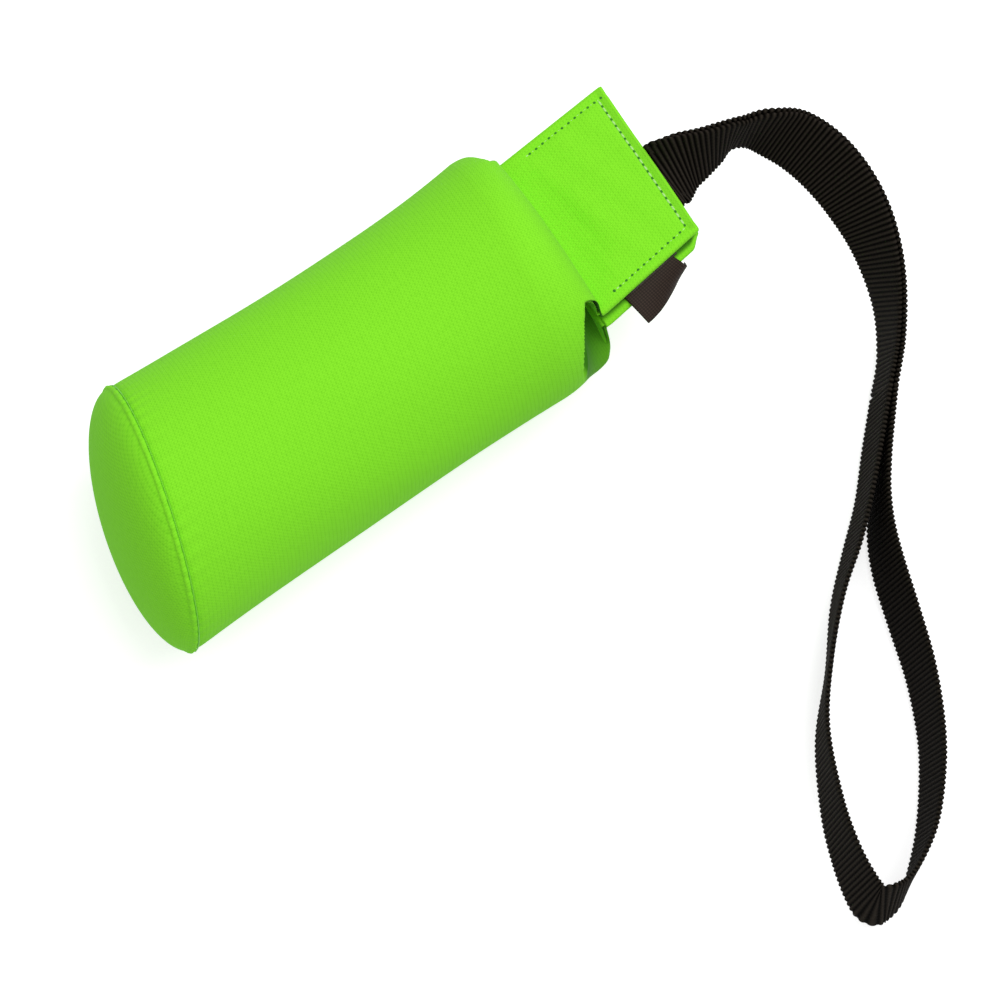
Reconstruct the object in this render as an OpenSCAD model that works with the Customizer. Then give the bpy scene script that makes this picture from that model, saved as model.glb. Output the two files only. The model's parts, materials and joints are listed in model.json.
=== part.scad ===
// Soft training bumper: a granulate-filled canvas bag with a round base, a flat
// sewn tab at the other end and a doubled webbing hand loop. Millimetres, +Z up.
// Origin: middle of the flat patch that the bag rests on. +X runs along the bag
// towards the tab, and the bag lies on its side.

/* [Bag] */
// Diameter of the bag at the base seam
base_d = 67; // [56:1:78]
// Diameter at the waist, where the filling is slackest
waist_d = 62; // [50:1:72]
// Diameter where the shoulder begins
shoulder_d = 64.5; // [52:0.5:74]
// Length from the base seam to the end of the shoulder
bag_len = 120; // [100:5:200]
// Place of the waist, as a part of the way from the base to the shoulder
waist_at = 0.72; // [0.4:0.02:0.85]
// How far the base bulges out past its seam
base_bulge = 11.5; // [4:0.5:16]
// How far the base leans round from square to the bag, in degrees
base_lean_angle = 14.5; // [0:0.5:18]
// How far the base faces up from square to the bag, in degrees
base_tip_angle = 8; // [0:0.5:10]
// How far the bag's weight presses its underside flat
sag = 1.6; // [0.6:0.2:3]
// Length over which the shoulder rounds off, above and below
shoulder_r = 13; // [9:0.5:20]
// How much later the shoulder starts on the left than on the right
shoulder_skew = 4.5; // [0:0.5:5]
// How deep the folded sides sink in at the shoulder
hollow_depth = 8; // [0:0.5:10]
// Thickness of the canvas
canvas_t = 0.8; // [0.5:0.1:1.0]
// Width of the seam allowances turned inside
allowance_w = 8; // [5:1:12]
// Radius of the ridge along the base seam
ridge_r = 0.8; // [0.5:0.1:1.2]
// Thickness of the inner liner
liner_t = 0.4; // [0.2:0.1:0.6]

/* [Tab] */
// Width of the tab at its root
tab_root_w = 47.5; // [40:0.5:52]
// Width of the tab at its far edge
tab_end_w = 46; // [36:0.5:50]
// Length of the tab from the end of the shoulder
tab_len = 34; // [26:1:50]
// Height of the tab's middle above the ground
tab_height = 36; // [31:0.5:38]
// How far the root of the tab lies left of the bag's axis
tab_root_y = 0.6; // [-2:0.2:3]
// How far the far edge of the tab lies left of the bag's axis
tab_end_y = 4.2; // [-2:0.2:6]
// Depth of the side folds at the root of the tab
gusset_depth = 11; // [7:0.5:14]
// Width of the hem turned in along the tab's three free edges
hem_w = 7; // [5:0.5:8]
// Length of one stitch
stitch_len = 2; // [1.4:0.1:2.4]
// Distance from one stitch to the next
stitch_pitch = 2.6; // [2.5:0.1:4]
// Thickness of the sewing thread
thread_t = 0.3; // [0.2:0.05:0.4]
// Distance of the topstitching from the edge
stitch_inset = 2.8; // [2:0.1:4]

/* [Webbing] */
// Width of the webbing
webbing_w = 18.5; // [12:0.5:20]
// Thickness of the webbing
webbing_t = 1.4; // [1:0.1:1.6]
// Length of webbing sewn in between the tab's layers
sewn_len = 22; // [14:1:26]
// Length of webbing that stands straight out of the tab before it can flex
stub_len = 1.5; // [1:0.25:3]
// Place of the webbing across the tab's far edge
webbing_y = -1.5; // [-3:0.5:3]

/* [Label] */
// Length of the label along the tab's side
label_len = 15.8; // [10:0.2:18]
// Length of label sewn in between the tab's layers
label_sewn = 4; // [2:0.5:5]
// How far the label stands out from the tab's side
label_out = 8.6; // [5:0.2:14]
// Thickness of the folded label
label_t = 0.8; // [0.5:0.1:0.8]
// Distance from the tab's root to the label
label_from_root = 7.5; // [4:0.5:10]

/* [Clearances] */
// Gap between pieces that move against each other
moving_gap = 0.3; // [0.2:0.05:0.5]
// Gap between sewn layers
layer_gap = 0.05; // [0.05:0.05:0.1]
// Gap between one shell of the bag and the next
shell_gap = 0.2; // [0.1:0.05:0.4]

/* [Hidden] */

canvas_green = [0.48, 0.86, 0.14];
seam_green = [0.40, 0.74, 0.12];
thread_green = [0.66, 0.80, 0.46];
webbing_black = [0.06, 0.06, 0.055];
label_brown = [0.16, 0.13, 0.11];
liner_white = [0.92, 0.92, 0.9];
fill_grey = [0.72, 0.72, 0.68];

base_x = -bag_len/2;
end_x = bag_len/2;
neck_len = 1.5;
root_x = end_x + neck_len;
tab_far_x = end_x + tab_len;

// Heights within the tab, counted from its middle plane
fold_leg_gap = label_t/2 + layer_gap;
hem_z = webbing_t + 2*layer_gap;
layer_z = hem_z + canvas_t + layer_gap;
tab_h = layer_z + canvas_t;
hinge_x = root_x + moving_gap + tab_h;

// ---------- bag: rings of points ----------

// Half-angle of the bag's girth that becomes one face of the tab
panel_a = tab_root_w/shoulder_d*180/PI;
panel_steps = 9;
fold_steps = 10;

// Each vertex of a ring is [angle, kind, fraction]. Kind 0 is the upper panel,
// 1 the right fold, 2 the lower panel and 3 the left fold. The fraction runs
// across a panel from right (-1) to left (1), and down a fold from the upper
// crease (1) to the lower one (-1).
ring_plan = concat(
    [for (i = [0:panel_steps])
        let (f = 1 - 2*i/panel_steps) [90 - f*panel_a, 0, f]],
    [for (i = [1:fold_steps - 1])
        let (g = 1 - 2*i/fold_steps) [180 - g*(90 - panel_a), 1, g]],
    [for (i = [0:panel_steps])
        let (f = -1 + 2*i/panel_steps) [270 + f*panel_a, 2, f]],
    [for (i = [1:fold_steps - 1])
        let (g = -1 + 2*i/fold_steps) [360 + g*(90 - panel_a), 3, g]]
);

function mix(a, b, t) = a + (b - a)*t;
function sq(a) = a*a;

// Radius of the bag at s, from 0 at the base seam to 1 at the shoulder
function bag_r(s) = waist_d/2 + (s < waist_at
    ? (base_d - waist_d)/2*sq(1 - s/waist_at)
    : (shoulder_d - waist_d)/2*sq((s - waist_at)/(1 - waist_at)));

function lean_at(s) = -base_lean_angle*(1 - s);
function tip_at(s) = base_tip_angle*(1 - s);
function shoulder_x(a) = end_x - shoulder_r + shoulder_skew*cos(a);

// A point of the bag's wall, set inwards by d
function wall_point(s, v, d) = let (a = v[0], r = bag_r(s), b = lean_at(s))
    [mix(base_x, shoulder_x(a), s) - (r - d)*cos(a)*sin(b) + (r - d)*sin(a)*tan(tip_at(s)),
     (r - d)*cos(a)*cos(b),
     max(d, r - sag + (r - d)*sin(a))];
function wall_ring(s, d) = [for (v = ring_plan) wall_point(s, v, d)];

// Across and up, within the neck where the bag has been pressed flat
function neck_point(v, d) = let (g = abs(v[2]), side = v[1] == 1 ? -1 : 1,
        leg = mix(canvas_t/4 + d, tab_h - d, max(0, (g - 0.8)/0.2)))
    v[1] == 0 ? [tab_root_y + v[2]*(tab_root_w/2 - d), tab_height + tab_h - d] :
    v[1] == 2 ? [tab_root_y + v[2]*(tab_root_w/2 - d), tab_height - tab_h + d] :
    [tab_root_y + side*(tab_root_w/2 - gusset_depth*(1 - g) - d),
     tab_height + sign(v[2])*leg];

// Depth of the hollow between the two creases of a folded side. It starts as a
// point on the middle of the side and widens to the whole fold at the neck.
hollow_start = 0.25;
hollow_rim = 0.3;
function hollow(w, v) = v[1] % 2 == 0 ? 0 : hollow_depth*sin(180*w)
    *max(0, min(1, (mix(hollow_start, 1, w) - abs(v[2]))/hollow_rim));

// Shoulder at w, from 0 where it starts to 1 at the neck: a squarish quarter
// round in which the girth closes on the neck's flat outline
roundness = 0.75;
function shoulder_ring(w, d) = let (go = pow(sin(90*w), roundness),
        shut = 1 - pow(cos(90*w), roundness))
    [for (v = ring_plan) let (p = wall_point(1, v, d), q = neck_point(v, d))
        [mix(p[0], end_x - d, go), mix(p[1], q[0], shut) - sign(cos(v[0]))*hollow(w, v),
         mix(p[2], q[1], shut)]];
function neck_ring(d) = [for (v = ring_plan) let (q = neck_point(v, d))
    [root_x, q[0], q[1]]];

wall_stations = [0, 0.08, 0.2, 0.36, 0.53, 0.72, 0.88, 1];
shoulder_stations = [0.16, 0.32, 0.47, 0.61, 0.74, 0.86, 0.95, 1];
function sleeve_rings(d) = concat(
    [for (s = wall_stations) wall_ring(s, d)],
    [for (w = shoulder_stations) shoulder_ring(w, d)],
    [neck_ring(d)]);
// Closed bags inside the canvas stop short of the neck. Each ends one station of
// the shoulder before the one outside it, so that their flat ends keep apart.
liner_stop = 0.65;
liner_in_stop = 0.5;
fill_stop = 0.35;
function bag_rings(d, stop) = concat(
    [for (t = [78, 50, 24]) dome_ring(t, d)],
    [for (s = wall_stations) wall_ring(s, d)],
    [for (w = shoulder_stations) if (w < stop) shoulder_ring(w, d)]);

// ---------- lofts ----------

function flat_list(rings) = [for (r = rings) for (p = r) p];
// Two triangles between neighbours j and k of one ring and the next. The cell
// is split from j to k, or from k to j where other is true.
function cell(n, j, from, to, other) = let (k = (j + 1) % n,
        a = from*n + j, b = to*n + j, c = to*n + k, d = from*n + k)
    other ? [[a, b, d], [b, c, d]] : [[a, b, c], [a, c, d]];

// Solid through a row of rings, closed at both ends. Where ribbon is true the
// second half of each ring lies under the first, and its cells are split alike.
module loft(rings, ribbon = false) {
    n = len(rings[0]);
    last = len(rings) - 1;
    polyhedron(points = flat_list(rings), faces = concat(
        [[for (j = [0:n - 1]) j]],
        [for (i = [0:last - 1]) for (j = [0:n - 1])
            each cell(n, j, i, i + 1, ribbon && j >= n/2)],
        [[for (j = [n - 1:-1:0]) last*n + j]]));
}

// Wall between an outer and an inner row of rings, open at both ends
module loft_wall(outer, inner) {
    rings = concat(outer, [for (i = [len(inner) - 1:-1:0]) inner[i]]);
    n = len(rings[0]);
    m = len(rings);
    polyhedron(points = flat_list(rings), faces = [for (i = [0:m - 1])
        for (j = [0:n - 1]) each cell(n, j, i, (i + 1) % m, i >= len(outer))]);
}

// ---------- bag: pieces ----------

module canvas_sleeve() {
    color(canvas_green) loft_wall(sleeve_rings(0), sleeve_rings(canvas_t));
}

// A point of the base at angle a and radius r, standing out of the base seam
function base_point(a, r, out) = let (b = -base_lean_angle)
    [base_x - out*cos(b) - r*cos(a)*sin(b) + r*sin(a)*tan(base_tip_angle),
     -out*sin(b) + r*cos(a)*cos(b),
     base_d/2 - sag + r*sin(a) + out*sin(base_tip_angle)];
// A ring of the base, kept above the ground by the thickness d
function base_ring(r, out, d = 0) = [for (v = ring_plan)
    let (p = base_point(v[0], r, out)) [p[0], p[1], max(d, p[2])]];
function dome_ring(t, d) = base_ring((base_d/2 - d)*cos(t), (base_bulge - d)*sin(t), d);

// Domed disc with the rounded ridge of the base seam round its edge
module base_disc() {
    dome = [78, 60, 42, 26, 12];
    ridge = [for (t = [120:-60:-60]) base_ring(base_d/2 - ridge_r/2 + ridge_r*cos(t),
        ridge_r*(1 + sin(t)))];
    color(canvas_green) loft(concat(
        [for (t = dome) dome_ring(t, 0)], ridge,
        [for (i = [len(dome) - 1:-1:0]) dome_ring(dome[i], canvas_t)]));
}

module base_seam_allowance() {
    reach = allowance_w/bag_len;
    top = canvas_t + layer_gap;
    color(seam_green) loft_wall([for (s = [0, reach]) wall_ring(s, top)],
        [for (s = [0, reach]) wall_ring(s, top + canvas_t)]);
}

// Thread in the groove beside the ridge, from one side of the flattened underside
// over the top and down to the other side
module base_seam_thread() {
    mid = base_d/2 + thread_t;
    start = asin((thread_t + sag - base_d/2)/mid);
    cells = 36;
    color(thread_green) loft([for (i = [0:cells]) let (a = start + i*(180 - 2*start)/cells)
        [for (t = [0:60:300]) base_point(a, mid + thread_t/2*cos(t), thread_t/2*sin(t))]]);
}

// Two edges of the sleeve panel, sewn together low on the left and laid flat
module side_seam_allowance() {
    seam_a = 318;
    turn = allowance_w/waist_d*180/PI;
    top = canvas_t + shell_gap;
    deep = top + canvas_t;
    color(seam_green) loft([for (s = [0.1, 0.3, 0.5, 0.72, 0.95])
        concat([for (k = [-1:0.5:1]) wall_point(s, [seam_a + k*turn], top)],
            [for (k = [1:-0.5:-1]) wall_point(s, [seam_a + k*turn], deep)])]);
}

liner_in = 2*canvas_t + layer_gap + shell_gap;
module inner_liner() {
    color(liner_white) difference() {
        loft(bag_rings(liner_in, liner_stop));
        loft(bag_rings(liner_in + liner_t, liner_in_stop));
    }
}

module granulate_fill() {
    color(fill_grey) loft(bag_rings(liner_in + liner_t + layer_gap, fill_stop));
}

// ---------- tab ----------

// Middle of the tab and half its width at x, counted from the hinge line
function tab_part(x) = (hinge_x + x - root_x)/(tab_far_x - root_x);
function tab_mid(x) = mix(tab_root_y, tab_end_y, tab_part(x));
function tab_half(x) = mix(tab_root_w, tab_end_w, tab_part(x))/2;
tab_reach = tab_far_x - hinge_x;

module in_tab() {
    translate([hinge_x, 0, tab_height]) children();
}

// Outline of the tab from x = a to x = b, set inwards by d at its sides
module tab_outline(a, b, d = 0) {
    polygon([[a, tab_mid(a) - tab_half(a) + d], [b, tab_mid(b) - tab_half(b) + d],
        [b, tab_mid(b) + tab_half(b) - d], [a, tab_mid(a) + tab_half(a) - d]]);
}

// One cloth layer of the tab. At the root it curls in about the fold line.
module tab_layer() {
    curl_a = 75;
    intersection() {
        translate([0, 0, -tab_h]) linear_extrude(2*tab_h)
            tab_outline(-tab_h, tab_reach);
        rotate([90, 0, 0]) linear_extrude(2*tab_root_w, center = true) union() {
            translate([0, layer_z]) square([tab_reach, canvas_t]);
            intersection() {
                difference() {
                    circle(tab_h, $fn = 64);
                    circle(layer_z, $fn = 64);
                }
                polygon([[0, 0], [0, 2*tab_h], [-2*tab_h, 2*tab_h],
                    [-2*tab_h, 2*tab_h/tan(curl_a)]]);
            }
        }
    }
}
module tab_top_layer() {
    color(canvas_green) in_tab() tab_layer();
}
module tab_bottom_layer() {
    color(canvas_green) in_tab() mirror([0, 0, 1]) tab_layer();
}

module tab_hem() {
    translate([0, 0, hem_z]) linear_extrude(canvas_t) difference() {
        tab_outline(0, tab_reach);
        tab_outline(-1, tab_reach - hem_w, hem_w);
    }
}
module tab_top_hem() {
    color(seam_green) in_tab() tab_hem();
}
module tab_bottom_hem() {
    color(seam_green) in_tab() mirror([0, 0, 1]) tab_hem();
}

// The side folds run on inside the tab as a strip doubled over, under the hem
fold_depth = hem_w - 1;
module tab_fold() {
    intersection() {
        translate([0, 0, -tab_h]) linear_extrude(2*tab_h) difference() {
            tab_outline(0, tab_reach - hem_w);
            tab_outline(-1, tab_reach, fold_depth);
        }
        translate([0, -tab_root_w, -hem_z + layer_gap])
            cube([tab_reach, 2*tab_root_w, 2*(hem_z - layer_gap)]);
    }
}
module tab_fold_slot() {
    translate([0, 0, -fold_leg_gap]) linear_extrude(2*fold_leg_gap) difference() {
        tab_outline(-1, tab_reach + 1, -1);
        tab_outline(-2, tab_reach + 2, fold_depth - canvas_t);
    }
}
module half_space(side) {
    translate([-tab_reach, side > 0 ? tab_root_y : tab_root_y - 2*tab_root_w, -tab_h])
        cube([3*tab_reach, 2*tab_root_w, 2*tab_h]);
}
module one_fold(side) {
    in_tab() intersection() {
        difference() {
            tab_fold();
            tab_fold_slot();
        }
        half_space(side);
    }
}
module tab_left_fold() {
    color(seam_green) one_fold(1);
}
module tab_right_fold() {
    color(seam_green) one_fold(-1);
}

// Stitches lying on the tab, as short bars on a line from p to q
module stitch_row(p, q) {
    run = norm(q - p);
    count = floor((run - stitch_len)/stitch_pitch);
    a = atan2(q[1] - p[1], q[0] - p[0]);
    translate([p[0], p[1], tab_h]) rotate([0, 0, a]) for (i = [0:count])
        translate([i*stitch_pitch, -thread_t, 0]) cube([stitch_len, 2*thread_t, thread_t]);
}
module topstitch() {
    far = tab_reach - stitch_inset;
    near = stitch_inset;
    left_near = [near, tab_mid(near) + tab_half(near) - stitch_inset];
    left_far = [far, tab_mid(far) + tab_half(far) - stitch_inset];
    right_near = [near, tab_mid(near) - tab_half(near) + stitch_inset];
    right_far = [far, tab_mid(far) - tab_half(far) + stitch_inset];
    corner = [0, stitch_pitch];
    stitch_row(left_near, left_far);
    stitch_row(right_far + corner, left_far - corner/2);
    stitch_row(right_near, right_far);
}
module tab_topstitch() {
    color(thread_green) in_tab() {
        topstitch();
        mirror([0, 0, 1]) topstitch();
    }
}

// ---------- sewn ends of the webbing, and the label ----------

module strap_end() {
    translate([tab_reach - sewn_len, webbing_y - webbing_w/2, layer_gap])
        cube([sewn_len + stub_len, webbing_w, webbing_t]);
}
module tack_holes(d) {
    for (x = [-0.75, -0.25], y = [-0.36, -0.12, 0.12, 0.36])
        translate([tab_reach + x*sewn_len, webbing_y + y*webbing_w, -tab_h])
            cylinder(h = 2*tab_h, d = d, $fn = 24);
}
module strap_upper_end() {
    color(webbing_black) in_tab() difference() {
        strap_end();
        tack_holes(thread_t + 2*layer_gap);
    }
}
module strap_lower_end() {
    color(webbing_black) in_tab() difference() {
        mirror([0, 0, 1]) strap_end();
        tack_holes(thread_t + 2*layer_gap);
    }
}
// Eight hand-tight stitches that hold the two webbing ends together
module strap_tack() {
    half = webbing_t + layer_gap;
    color(webbing_black) in_tab() intersection() {
        tack_holes(thread_t);
        translate([0, -tab_root_w, -half]) cube([tab_reach, 2*tab_root_w, 2*half]);
    }
}

// The right-hand edge of the tab, as a line that the label is sewn along
edge_turn = atan((tab_end_y - tab_root_y - (tab_end_w - tab_root_w)/2)
    /(tab_far_x - root_x));
label_x = root_x + label_from_root - hinge_x;
module at_label() {
    in_tab() translate([label_x, tab_mid(label_x) - tab_half(label_x), 0])
        rotate([0, 0, edge_turn]) children();
}
module label_tail() {
    color(label_brown) at_label() translate([0, 0, -label_t/2])
        cube([label_len, label_sewn, label_t]);
}
label_hinge = moving_gap + label_t/2;
module side_label() {
    color(label_brown) at_label() translate([0, -label_hinge - label_out, -label_t/2])
        cube([label_len, label_out, label_t]);
}

// ---------- webbing outside the tab ----------

// Route of the doubled webbing: x, y, z and the roll of its width in degrees,
// 0 lying flat and 90 standing on edge with the left edge on top
strap_root_x = tab_far_x + stub_len + moving_gap + webbing_t + 2*layer_gap;
doubled_route = [
    [strap_root_x, webbing_y, tab_height, 0], [100.5, -1.5, 36, 8],
    [104.5, -1.8, 36, 45], [109.7, -2.3, 35.8, 75], [116.4, -2.5, 35, 92],
    [122.5, -5.1, 34, 83], [128.2, -10.7, 31.2, 61], [131.7, -19.9, 28.5, 52],
    [132.6, -31.1, 25.5, 54.5], [131.1, -42.7, 21.5, 64], [126.7, -55.2, 16, 75],
    [119.9, -65.7, 12, 79], [111.7, -73.9, 10.2, 79]
];
// Route of the hand loop, from the lower ply round to the upper one
loop_route = [
    [103.3, -84.1, 10, 79], [98.1, -90.5, 10, 81], [93.5, -96, 10, 79],
    [88.8, -102.8, 10, 75], [84.7, -111.2, 10, 72], [80.2, -123.3, 10, 72],
    [74.9, -137.3, 10, 74], [67.8, -150.8, 10, 76], [60.5, -160.7, 10, 77],
    [51.4, -170.1, 10.1, 80], [41.8, -176.7, 10.6, 88], [36.8, -178.9, 11.2, 97],
    [32.6, -178.9, 12, 106], [30, -177.2, 12, 112], [29.5, -173.3, 12, 111],
    [31.7, -163.5, 11.6, 106], [36.6, -151.3, 10.6, 101], [45.7, -135.5, 10, 94],
    [57.5, -122.7, 10, 89], [69.3, -110.6, 10, 95], [80.8, -101.5, 10, 100],
    [91.4, -92.6, 10, 99], [101.9, -82.4, 10, 101]
];

function unit(v) = v/norm(v);
function place(p) = [p[0], p[1], p[2]];
// Point at t between b and c, on a smooth curve through a, b, c and d
function curve(a, b, c, d, t) = (2*b + (c - a)*t + (2*a - 5*b + 4*c - d)*t*t
    + (3*b - 3*c + d - a)*t*t*t)/2;
function smooth(r, steps) = let (m = len(r) - 1) concat(
    [for (i = [0:m - 1]) for (k = [0:steps - 1])
        curve(i == 0 ? 2*r[0] - r[1] : r[i - 1], r[i], r[i + 1],
            i == m - 1 ? 2*r[m] - r[m - 1] : r[i + 2], k/steps)],
    [r[m]]);
// Frame at station i of a route: [place, direction, towards the left edge, up
// out of the webbing's face]
function frame_at(r, i) = let (m = len(r) - 1,
        t = unit(place(r[min(i + 1, m)] - r[max(i - 1, 0)])),
        left = unit(cross([0, 0, 1], t)), up = cross(t, left), a = r[i][3])
    [place(r[i]), t, cos(a)*left + sin(a)*up, cos(a)*up - sin(a)*left];
// Section of webbing between heights lo and hi out of its middle plane: across
// its upper face from left to right, then back across its lower face
function section(f, lo, hi) = [for (q = [[1, hi], [0.5, hi], [0, hi], [-0.5, hi],
        [-1, hi], [-1, lo], [-0.5, lo], [0, lo], [0.5, lo], [1, lo]])
    f[0] + q[0]*webbing_w/2*f[2] + q[1]*f[3]];

doubled_line = smooth(doubled_route, 2);
doubled_last = len(doubled_line) - 1;
root_frame = frame_at(doubled_line, 0);
end_frame = frame_at(doubled_line, doubled_last);
// Where the plies meet the stub they are rounded, so that they can swing there
ply_top = webbing_t + layer_gap;
function root_section(a) = let (f = root_frame)
    section([[f[0][0] - ply_top*cos(a), f[0][1], f[0][2]], [1, 0, 0], [0, 1, 0],
        [0, 0, 1]], layer_gap, max(2*layer_gap, ply_top*sin(a)));
ply_rings = concat([for (a = [15, 45]) root_section(a)],
    [for (i = [0:doubled_last]) section(i == 0
        ? [root_frame[0], [1, 0, 0], [0, 1, 0], [0, 0, 1]] : frame_at(doubled_line, i),
        layer_gap, ply_top)]);

module strap_upper_ply() {
    color(webbing_black) loft(ply_rings, ribbon = true);
}
// The lower ply is the upper one turned over about the doubled line
function turned(f) = [f[0], f[1], f[2], -f[3]];
lower_rings = concat([for (a = [15, 45]) [for (p = root_section(a))
        [p[0], p[1], 2*tab_height - p[2]]]],
    [for (i = [0:doubled_last]) section(turned(i == 0
        ? [root_frame[0], [1, 0, 0], [0, 1, 0], [0, 0, 1]] : frame_at(doubled_line, i)),
        layer_gap, ply_top)]);
module strap_lower_ply() {
    color(webbing_black) loft([for (r = lower_rings) [for (j = [9:-1:0]) r[j]]],
        ribbon = true);
}

// The loop begins on the lower ply's end and comes back to just short of the
// upper ply's end, with its width the same way up
loop_mid = layer_gap + webbing_t/2;
loop_start = concat(end_frame[0] - loop_mid*end_frame[3], [doubled_route[12][3]]);
loop_end = concat(end_frame[0] + loop_mid*end_frame[3]
    + moving_gap*end_frame[1], [180 - doubled_route[12][3]]);
loop_line = concat([loop_start], loop_route, [loop_end]);
loop_last = len(loop_line) - 1;
back_frame = [place(loop_end), -end_frame[1], end_frame[2], -end_frame[3]];
module hand_loop() {
    half = webbing_t/2;
    color(webbing_black) loft(concat(
        [section([place(loop_start), end_frame[1], end_frame[2], end_frame[3]],
            -half, half)],
        [for (i = [1:loop_last - 1]) section(frame_at(loop_line, i), -half, half)],
        [section(back_frame, -half, half)]), ribbon = true);
}

canvas_sleeve();
base_disc();
base_seam_allowance();
base_seam_thread();
side_seam_allowance();
inner_liner();
granulate_fill();
tab_top_layer();
tab_bottom_layer();
tab_top_hem();
tab_bottom_hem();
tab_left_fold();
tab_right_fold();
tab_topstitch();
strap_upper_end();
strap_lower_end();
strap_tack();
label_tail();
side_label();
strap_upper_ply();
strap_lower_ply();
hand_loop();
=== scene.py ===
import json

import bpy
import numpy as np
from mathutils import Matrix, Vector


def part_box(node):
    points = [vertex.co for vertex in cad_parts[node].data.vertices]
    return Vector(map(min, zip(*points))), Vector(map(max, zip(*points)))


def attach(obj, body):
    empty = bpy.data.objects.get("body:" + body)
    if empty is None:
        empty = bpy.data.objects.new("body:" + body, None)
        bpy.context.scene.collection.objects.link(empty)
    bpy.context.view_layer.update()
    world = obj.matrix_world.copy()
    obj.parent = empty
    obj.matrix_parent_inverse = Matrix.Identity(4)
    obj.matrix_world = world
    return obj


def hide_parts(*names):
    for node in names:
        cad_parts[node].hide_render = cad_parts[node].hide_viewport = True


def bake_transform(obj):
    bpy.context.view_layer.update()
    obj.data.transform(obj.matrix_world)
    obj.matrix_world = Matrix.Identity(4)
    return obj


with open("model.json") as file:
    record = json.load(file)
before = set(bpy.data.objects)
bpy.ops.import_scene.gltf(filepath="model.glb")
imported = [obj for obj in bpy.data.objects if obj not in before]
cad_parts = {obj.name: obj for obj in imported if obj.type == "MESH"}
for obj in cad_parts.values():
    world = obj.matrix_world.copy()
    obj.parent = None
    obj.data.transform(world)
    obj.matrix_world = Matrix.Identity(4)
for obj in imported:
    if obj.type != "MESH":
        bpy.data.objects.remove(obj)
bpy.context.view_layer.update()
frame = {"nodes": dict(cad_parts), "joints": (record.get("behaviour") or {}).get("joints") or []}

mm = 0.001

# ---------- camera ----------
# A long lens looks down steeply from the base end, a little to the right of
# the bag, so that the bag points up and to the right with its loop below.

azimuth, elevation = np.radians(-35.6), np.radians(73.0)
distance = 930*mm
looks_at = Vector((13.75, -43.37, 22.73))*mm
back = Vector((np.sin(azimuth)*np.cos(elevation), -np.cos(azimuth)*np.cos(elevation),
               np.sin(elevation)))
lens = bpy.data.cameras.new("camera")
lens.lens = 135
lens.sensor_width = 36
lens.clip_start, lens.clip_end = 0.05, 20
camera = bpy.data.objects.new("camera", lens)
camera.location = looks_at + back*distance
camera.rotation_mode = "QUATERNION"
camera.rotation_quaternion = (-back).to_track_quat("-Z", "Y")
bpy.context.collection.objects.link(camera)
bpy.context.scene.camera = camera
bpy.context.scene.view_settings.view_transform = "Standard"

# ---------- hand loop of webbing ----------
# One length of black polypropylene webbing, 18.5 mm wide, woven with a bold rib
# across it. Both ends are sewn into the tab, so two plies lie face to face up to
# the fork, where they part into the loop that the hand goes through.

web_w = 18.5*mm
web_t = 1.4*mm
ply_gap = 0.05*mm
rib_pitch = 1.25*mm
rib_depth = 0.5*mm
scallop = 0.28*mm
rings_in_a_rib = 6
web_black = "040302"
# lighter colour painted on the rib crests as light falling on them
web_crest_lit = "332E28"

# Each point is x, y, z and the roll of the width in degrees: 0 lies flat, and 90
# stands on edge with the left edge on top.
doubled_route = [
    [94.1, -1.5, 36, 0], [97.4, -1.5, 36, 37], [101.2, -1.5, 36, 58],
    [105.8, -2.1, 36, 72], [110.9, -2.4, 35.7, 83], [116.6, -2.5, 35, 94],
    [122.5, -5.1, 34, 83], [128.2, -10.7, 31.2, 61], [131.7, -19.9, 28.5, 52],
    [132.6, -31.1, 25.5, 54.5], [131.1, -42.7, 21.5, 64], [126.7, -55.2, 16, 75],
    [119.9, -65.7, 12, 79], [111.7, -73.9, 10.2, 79]]
loop_route = [
    [103.3, -84.1, 10, 79], [98.1, -90.5, 10, 81], [93.5, -96, 10, 79],
    [88.8, -102.8, 10, 75], [84.7, -111.2, 10, 72], [80.2, -123.3, 10, 72],
    [74.9, -137.3, 10, 74], [67.8, -150.8, 10, 76], [60.5, -160.7, 10, 77],
    [51.4, -170.1, 10.1, 80], [41.8, -176.7, 10.6, 88], [36.8, -178.9, 11.2, 97],
    [32.6, -178.9, 12, 106], [30, -177.2, 12, 112], [29.5, -173.3, 12, 111],
    [31.7, -163.5, 11.6, 106], [36.6, -151.3, 10.6, 101], [45.7, -135.5, 10, 94],
    [57.5, -122.7, 10, 89], [69.3, -110.6, 10, 95], [80.8, -101.5, 10, 100],
    [91.4, -92.6, 10, 99], [101.9, -82.4, 10, 101]]


def unit(v):
    """Each row of v divided by its own length."""
    return v/np.linalg.norm(v, axis=-1, keepdims=True)


def smooth_line(route, step):
    """Points at equal steps on the Catmull-Rom curve through the route: each
    stretch is the cubic that leaves b and reaches c along the chords a-c and b-d."""
    r = np.array(route, float)
    r = np.vstack([2*r[0] - r[1], r, 2*r[-1] - r[-2]])
    t = np.linspace(0, 1, 41)[:-1, None]
    a, b, c, d = (r[None, i:len(r) - 3 + i] for i in range(4))
    t = t[:, None]
    fine = (2*b + (c - a)*t + (2*a - 5*b + 4*c - d)*t**2
            + (3*b - 3*c + d - a)*t**3)/2
    fine = np.vstack([fine.transpose(1, 0, 2).reshape(-1, r.shape[1]), r[-2]])
    run = np.concatenate([[0], np.cumsum(np.linalg.norm(np.diff(fine[:, :3], axis=0),
                                                        axis=1))])
    at = np.linspace(0, run[-1], int(run[-1]/step) + 2)
    return np.stack([np.interp(at, run, fine[:, k]) for k in range(r.shape[1])], 1)


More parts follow.
